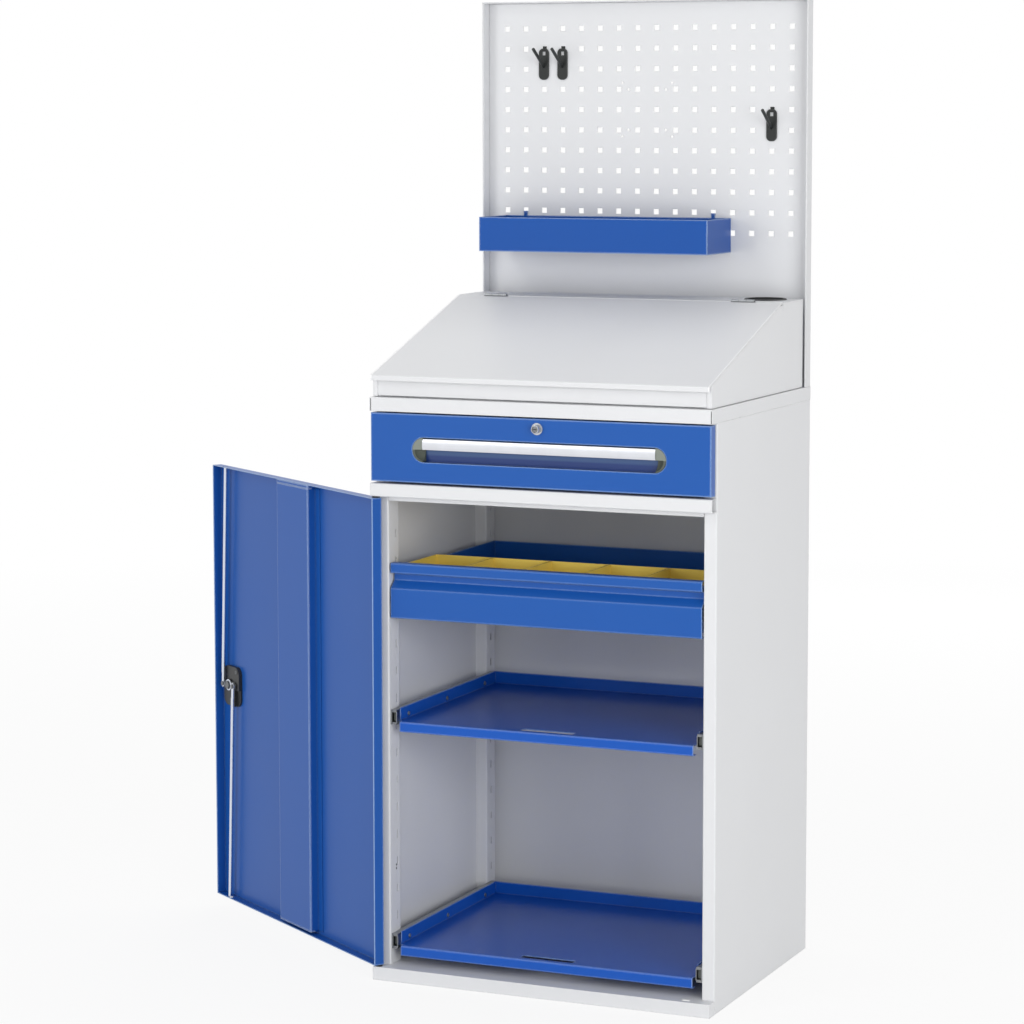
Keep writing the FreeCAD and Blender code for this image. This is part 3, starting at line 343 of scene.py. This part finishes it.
grey_moulding = moulded("grey_moulding", tone(92, 96, 94), 0.50, 900.0)
for run, wall, front, height in RUNS:
    for hand, side in (("left", -1), ("right", 1)):
        turned(run + "_screws_" + hand, SCREW, [(side * wall, y, height) for y in SCREW_PLACES], (-side, 0, 0),
               zinc, run)
    turned(run + "_buffers", BUFFER, [(side * BUFFER_ASIDE, front + BUFFER_ROOT, height) for side in (-1, 1)],
           (0, -1, 0), grey_moulding, run, sides=24, flat=0.41, corner=0.35)


# Top drawer: a folded box with a deep front pan that has a long slot for the hand and a hole for the lock.
# Steel sheet under a blue powder coat, a little glossier than the grey, with a painted highlight on its folds.
BLUE, BLUE_FOLD_HIGHLIGHT = tone(26, 85, 166), tone(178, 207, 246)
BLUE_GLOSS = {"roughness": 0.33, "width": 0.0032, "shine": 0.3}
blue_coat = powder_coat("blue_powder_coat", BLUE, BLUE_FOLD_HIGHLIGHT, **BLUE_GLOSS)
coat(blue_coat, "top_drawer_box", "top_drawer_front")


# Finger trough: a steel strip bent to a channel and fixed behind the slot, under a dark blue coat.
# The part above a set height is painted paler: a painted reflection of the pull bar.

def banded(name, low, high, split, soft, roughness):
    """Two tones meeting at a height, low to high over a soft step: a painted reflection on the trough, a painted
    shade on the caps.
    """
    material, wire, shader = bare(name)
    rise = ((wire.along("Z") - split) * (1 / soft) + 0.5).held()
    etch = wire.noise(scale=700.0, detail=2.0)
    wire.fill(shader, {
        "Base Color": rise.colour(low, high),
        "Roughness": roughness + etch.swing(0.10),
        "Normal": etch.relief(strength=0.2, depth=0.0001, normal=wire.rounded(0.0006)),
    })
    return material


coat(banded("trough_coat_and_reflection", tone(30, 56, 116), tone(58, 86, 132), split=0.959, soft=0.004, roughness=0.30),
     "grip_trough")


# Pull bar across the slot: a drawn aluminium section, satin anodised, with fine lines along its length.
# It is held by the two end pieces.
coat(plated("satin_bar", tone(246, 248, 254), 0.40, 1200.0, (0.02, 1.0, 1.0)), "grip_bar")


# End pieces of the pull: grey plastic mouldings, painted darker below mid-height as a painted shade.
# They are snapped into the round ends of the slot.
coat(banded("cap_tone_and_painted_shade", tone(78, 84, 76), tone(124, 130, 122), split=0.969, soft=0.0016, roughness=0.45),
     "grip_caps")


# Drawer lock: a turned brass housing and its core, nickel-chrome plated and polished, fixed in the front pan.
# The housing stands out as a short barrel, with the core at the mouth; a dark plate on the core's face stands in
# for the shade in the key slit, a painted shade.
BARREL = [(0.0074, 0.0), (0.0074, 0.0088), (0.0069, 0.0097), (0.0062, 0.0100), (0.0057, 0.0096), (0.0056, 0.0)]
CORE = [(0.0053, 0.0), (0.0053, 0.0084), (0.0049, 0.0088), (0.0020, 0.0089)]
SLIT = [(0.0008, 0.0), (0.0008, 0.0002), (0.0005, 0.0003)]
LOCK_HEIGHT, BARREL_ROOT, CORE_FACE = 1.015, -0.2618, -0.2706
chrome = plated("polished_chrome", tone(214, 216, 220), 0.16, 300.0)
core_metal = plated("lock_core", tone(150, 152, 156), 0.30, 500.0)
coat(chrome, "lock_cylinder")
coat(core_metal, "lock_plug")
turned("lock_barrel", BARREL, [(0.0, BARREL_ROOT, LOCK_HEIGHT)], (0, -1, 0),
       chrome, "top_drawer", sides=40)
turned("lock_core", CORE, [(0.0, BARREL_ROOT, LOCK_HEIGHT)], (0, -1, 0),
       core_metal, "drawer_key", sides=32)
turned("key_slit_shade", SLIT, [(0.0, CORE_FACE, LOCK_HEIGHT)], (0, -1, 0),
       black_moulding, "drawer_key", flat=4.4, corner=0.4)


# Inner drawer: a shallow folded box with a low front strip that has a finger groove.
# Steel sheet, folded and spot-welded, blue as the other drawer.
coat(blue_coat, "inner_drawer_box", "inner_drawer_front")


# Bins: a row of loose trays that stand in the inner drawer.
# Thin injection mouldings in yellow plastic with a fine grain.
coat(moulded("yellow_moulding", tone(240, 213, 102), 0.40, 700.0), "insert_bins")


# Pull-out shelves: shallow folded trays with raised sides and a turned-down front lip.
# Steel sheet under a blue powder coat of a fuller gloss, so that the flat shows soft reflections, and with a
# painted highlight on its folds.
coat(powder_coat("blue_shelf_coat", tone(20, 84, 180), tone(190, 214, 248), 0.25, width=0.0032, shine=0.25),
     "upper_shelf", "lower_shelf")


# Door: a folded pan hung on two plain zinc-plated pins, and seen from inside, for it stands wide open.
# Steel sheet under the same blue coat; its folds and the cut rim of its folded edges are painted bright, a painted
# highlight.
PIN_X, PIN_Y = -0.317, -0.252
DOOR_SWING = np.radians(215.0)
RIM_DEPTH, RIM_HIGHLIGHT_SHARE = 0.0107, 0.75


def on_door(spots):
    """Places on the shut door carried to where it stands open: a turn about the upright line of its pins."""
    pin = np.array([PIN_X, PIN_Y])
    c, s = np.cos(DOOR_SWING), np.sin(DOOR_SWING)
    spots = np.array(spots, float)
    return np.column_stack([(spots[:, :2] - pin) @ [[c, -s], [s, c]] + pin, spots[:, 2]])


pin_line = on_door([(PIN_X, PIN_Y, 0.0)])[0]
inward = on_door([(PIN_X, PIN_Y + 1.0, 0.0)])[0] - pin_line


def inside_of(wire, depth):
    """1 where a point of the door lies further inward than this depth behind the line of the pins."""
    reach = wire.vector("DOT_PRODUCT", wire.place(), tuple(inward), "Value")
    return reach > float(pin_line @ inward) + depth


def rim_highlight(wire, edge):
    """Where the painted highlight goes: the folds, and the cut rim of the door's folded edges."""
    return (edge + RIM_HIGHLIGHT_SHARE * inside_of(wire, RIM_DEPTH)).held()


coat(powder_coat("blue_door_coat", BLUE, BLUE_FOLD_HIGHLIGHT, crest=rim_highlight, **BLUE_GLOSS), "door_skin")
coat(zinc, "door_pivots")


# Hat section: a stiffener folded from the same sheet and spot-welded by its two feet down the door's inside.
# A plate closes either end; the upper one reaches the door's folded edge.
HAT = [(-0.0732, -0.2586), (0.0522, -0.2586), (0.0522, -0.2433), (0.0514, -0.2414), (0.0495, -0.2406),
       (-0.0705, -0.2406), (-0.0724, -0.2414), (-0.0732, -0.2433)]
HAT_ENDS = (0.0336, 0.0350), (0.8710, 0.8776)
FEET_DEPTH = 0.002


def hat_crest_highlight(wire, edge):
    """Where the painted highlight goes: the folds of the raised part of the hat section, without its feet on the
    skin.
    """
    return edge * inside_of(wire, FEET_DEPTH)


def plates(name, outline, spans, material, body, axis=2):
    """Plates of one outline: it stands at the start and at the end of each span of an axis, with a wall between.

    A point is a corner of the outline, in the two axes that follow, at the lower or the upper end of a span.
    """
    count, heights = len(outline), np.ravel(spans)
    points = np.column_stack([np.tile(outline, (len(heights), 1)), np.repeat(heights, count)])
    points = np.roll(points, axis - 2, axis=1)
    here = np.arange(count)
    wall = np.column_stack([here, (here + 1) % count, (here + 1) % count + count, here + count])
    starts = range(0, len(points), 2 * count)
    faces = [(face + start).tolist() for start in starts for face in [*wall, here[::-1], here + count]]
    stand(name, points, faces, [False] * len(faces), material, body)


# The hat's raised folds are painted pale: a painted highlight.
hat_coat = powder_coat("blue_hat_coat", BLUE, tone(214, 230, 252), crest=hat_crest_highlight,
                       **dict(BLUE_GLOSS, width=0.0040))
coat(hat_coat, "door_stiffener")
plates("hat_ends", on_door([(x, y, 0.0) for x, y in HAT])[:, :2], HAT_ENDS, hat_coat, "door")


# Bar lock: a case, rose and handle of black moulded plastic, screwed to the door, and a dark plated arm on the
# handle's spindle, with a bright ring under its nut. The arm slides two bright plated bars in the door's edges.
NUT_RING = [(0.0112, 0.0), (0.0112, 0.0012), (0.0104, 0.0019), (0.0090, 0.0019), (0.0084, 0.0014),
            (0.0084, 0.0001)]
NUT_PLACE = (0.279, -0.2484, 0.450)
CASE_SCREWS = (0.252, -0.2512, 0.478), (0.270, -0.2512, 0.418)
dark_steel = plated("dark_plated_steel", tone(120, 122, 124), 0.36, 500.0)
bar_plating = plated("bar_plating", tone(232, 237, 248), 0.30, 1200.0, (1.0, 1.0, 0.02))
coat(black_moulding, "lock_case", "handle_rose", "turn_handle")
coat(chrome, "handle_core")
coat(dark_steel, "latch_arm")
coat(bar_plating, "upper_bar", "lower_bar")
turned("case_screws", SCREW, on_door(CASE_SCREWS), inward, dark_steel, "door")
turned("nut_ring", NUT_RING, on_door([NUT_PLACE]), inward, bar_plating, "latch", sides=32)


# Lectern: a box with sloped sides on the cover, and a lid that lifts on two zinc-plated hinges behind its upper
# edge. Folded steel sheet under the grey coat. The lid has a lip at the front and a fold at the rear, two channels
# stiffen it, and a narrow strip along its side edges is painted pale, a painted highlight.
LID_RIM, LID_FOLD_HIGHLIGHT = 0.3186, tone(252, 252, 253)


def lid_side_highlight(wire, edge):
    """Where the painted highlight goes: the folds, and a narrow strip along both side edges of the lid, all that
    lies further aside than its rim.
    """
    return (edge + (abs(wire.along("X")) > LID_RIM)).held()


coat(grey_coat, "lectern_floor", "lectern_side_left", "lectern_side_right", "lectern_front", "lectern_back",
     "lid_stiffeners")
coat(powder_coat("lid_powder_coat", GREY, LID_FOLD_HIGHLIGHT, GREY_ROUGHNESS, crest=lid_side_highlight), "lid")
coat(zinc, "lid_hinge_fixed", "lid_hinge_moving", "lid_hinge_pins")


# Tongues: two small plates of the same grey sheet, welded behind the rear corners of the lectern's sides.
# They close the notch below the hinge line, and are cut so that the lid's rear fold clears them as it lifts.
TONGUE = [(0.0983, 1.2163), (0.1156, 1.2080), (0.1156, 1.2187), (0.1126, 1.2187), (0.1123, 1.2172),
          (0.1010, 1.2172)]
TONGUE_SPANS = (-0.3209, -0.3199), (0.3199, 0.3209)
plates("cheek_tongues", TONGUE, TONGUE_SPANS, grey_coat, "cabinet", axis=0)


# Pen cup: a round cup moulded in black plastic, with the same dull skin as the bushes.
# It is dropped into a hole in the strip behind the lid.
coat(black_moulding, "pen_cup")


# Perforated panel: a sheet with a grid of square holes between two posts and a top rail.
# Punched and folded steel under the grey coat, with a row of zinc-plated screws in the back of either post.
PANEL_SCREW_ASIDE, POST_BACK = 0.3145, 0.260
post_places = [(x, POST_BACK, z) for x in (-PANEL_SCREW_ASIDE, PANEL_SCREW_ASIDE)
               for z in np.arange(1.10, 1.72, 0.15)]
coat(grey_coat, "panel_post_left", "panel_post_right", "panel_top_rail", "perforated_panel")
turned("panel_screws", SCREW, post_places, (0, 1, 0), zinc, "cabinet")


# Tray: an open box folded from steel sheet, under a blue coat painted a little darker than the drawers' as painted
# shade, with a brighter painted highlight on its folds.
# It hangs by two hooks in holes of the panel.
coat(powder_coat("blue_tray_coat", tone(15, 78, 160), tone(200, 221, 250), **BLUE_GLOSS), "storage_tray")


# Tool hooks: plates with a tilted prong, bent from steel and each hung in a hole of the panel.
# They have a dark coat, painted paler on the edges as a painted highlight.
coat(powder_coat("dark_hook_coat", tone(30, 33, 32), tone(84, 88, 86), 0.38), "tool_hooks")


# Stage: a pale floor, a white surround that metal and gloss can mirror, and six soft lamps.
# The floor shows nearly white to the camera, white far off, and keeps the shadow under the plinth.
FLOOR_REACH, FLOOR_HEIGHT = 60, -0.0005
WHITE, NEAR_WHITE = (1.0, 1.0, 1.0, 1.0), 0.88
SKY_LIGHT, SKY_SEEN = 0.5, 1.0
LAMPS = (  # name, place, what it is turned to, width and height, power, whether gloss mirrors it
    ("lamp_left", (-2.6, -4.2, 1.4), (0.0, 0.0, 0.8), (2.6, 2.6), 60.0, False),
    ("lamp_front", (1.6, -5.2, 1.1), (0.0, 0.0, 0.8), (2.0, 2.0), 14.0, False),
    ("lamp_right", (3.9, -3.4, 1.3), (0.0, 0.0, 0.8), (2.6, 2.6), 122.0, False),
    ("lamp_high", (-2.2, -3.6, 4.2), (0.0, 0.0, 1.0), (1.0, 1.0), 18.0, True),
    ("lamp_above", (-0.3, 0.9, 3.9), (0.0, 0.0, 1.0), (3.0, 0.6), 28.0, True),
    ("lamp_rear", (-0.8, 4.8, 1.8), (0.0, 0.0, 0.9), (2.6, 2.6), 60.0, False),
)


def seen(wire):
    """1 for rays that show the background straight, in a mirror or through glass, and 0 for light that falls."""
    straight, mirrored, through = (wire.add("LightPath", out="Is " + ray + " Ray")
                                   for ray in ("Camera", "Glossy", "Transmission"))
    return (straight + mirrored + through).held()


floor_mesh = bpy.data.meshes.new("floor")
floor_mesh.from_pydata([(x * FLOOR_REACH, y * FLOOR_REACH, FLOOR_HEIGHT)
                        for x, y in ((-1, -1), (1, -1), (1, 1), (-1, 1))], [], [(0, 1, 2, 3)])
floor = bpy.data.objects.new("floor", floor_mesh)
bpy.context.collection.objects.link(floor)
pale_floor, wire, shader = bare("pale_floor")
wire.fill(shader, {"Base Color": tone(228, 228, 228), "Roughness": 0.9})
matt = Wire(wire.tree, shader.outputs[0])
glow = wire.add("Emission", {}, {"Color": WHITE, "Strength": 1.0})
away = wire.add("VectorMath", {"operation": "LENGTH"}, {0: wire.place()}, "Value")
far = (away * 0.25 - 0.4).held()
both = wire.add("MixShader", {}, {0: seen(wire) * (NEAR_WHITE + far * (1 - NEAR_WHITE)), 1: matt, 2: glow})
wire.fill(wire.tree.nodes["Material Output"], {"Surface": both})
floor_mesh.materials.append(pale_floor)

world = bpy.data.worlds.new("surround")
bpy.context.scene.world = world
world.use_nodes = True
sky = Wire(world.node_tree)
sky.fill(world.node_tree.nodes["Background"],
         {"Color": WHITE, "Strength": SKY_LIGHT + seen(sky) * (SKY_SEEN - SKY_LIGHT)})

# A lamp's back axis is the line to it from what it is turned to, and its side axis lies level.
for name, place, aim, sizes, power, mirrored in LAMPS:
    lamp = bpy.data.lights.new(name, "AREA")
    lamp.shape = "RECTANGLE"
    lamp.size, lamp.size_y = sizes
    lamp.energy = power
    holder = bpy.data.objects.new(name, lamp)
    bpy.context.collection.objects.link(holder)
    back = np.array(place) - aim
    back /= np.linalg.norm(back)
    side = np.cross((0.0, 0.0, 1.0), back)
    side /= np.linalg.norm(side)
    turn = np.eye(4)
    turn[:3] = np.column_stack([side, np.cross(back, side), back, place])
    holder.matrix_world = Matrix(turn)
    holder.visible_glossy = mirrored


# Camera: at the photograph's place and height, looking a little down and to the left.
# Its focal length was found in the photograph's pixels, and the shift puts the frame where the photograph's is.
FOCAL_PIXELS, FRAME_PIXELS, SENSOR = 3230.6, 1024, 36.0
LOOK_DOWN, LOOK_LEFT = 6.011, 23.138
camera_data = bpy.data.cameras.new("camera")
camera_data.sensor_width = SENSOR
camera_data.lens = FOCAL_PIXELS / FRAME_PIXELS * SENSOR
camera_data.shift_x = -0.04
camera_data.shift_y = -0.06
camera = bpy.data.objects.new("camera", camera_data)
camera.location = (2.2244, -5.3955, 1.5666)
camera.rotation_euler = (np.radians(90 - LOOK_DOWN), 0.0, np.radians(LOOK_LEFT))
bpy.context.collection.objects.link(camera)
bpy.context.scene.camera = camera
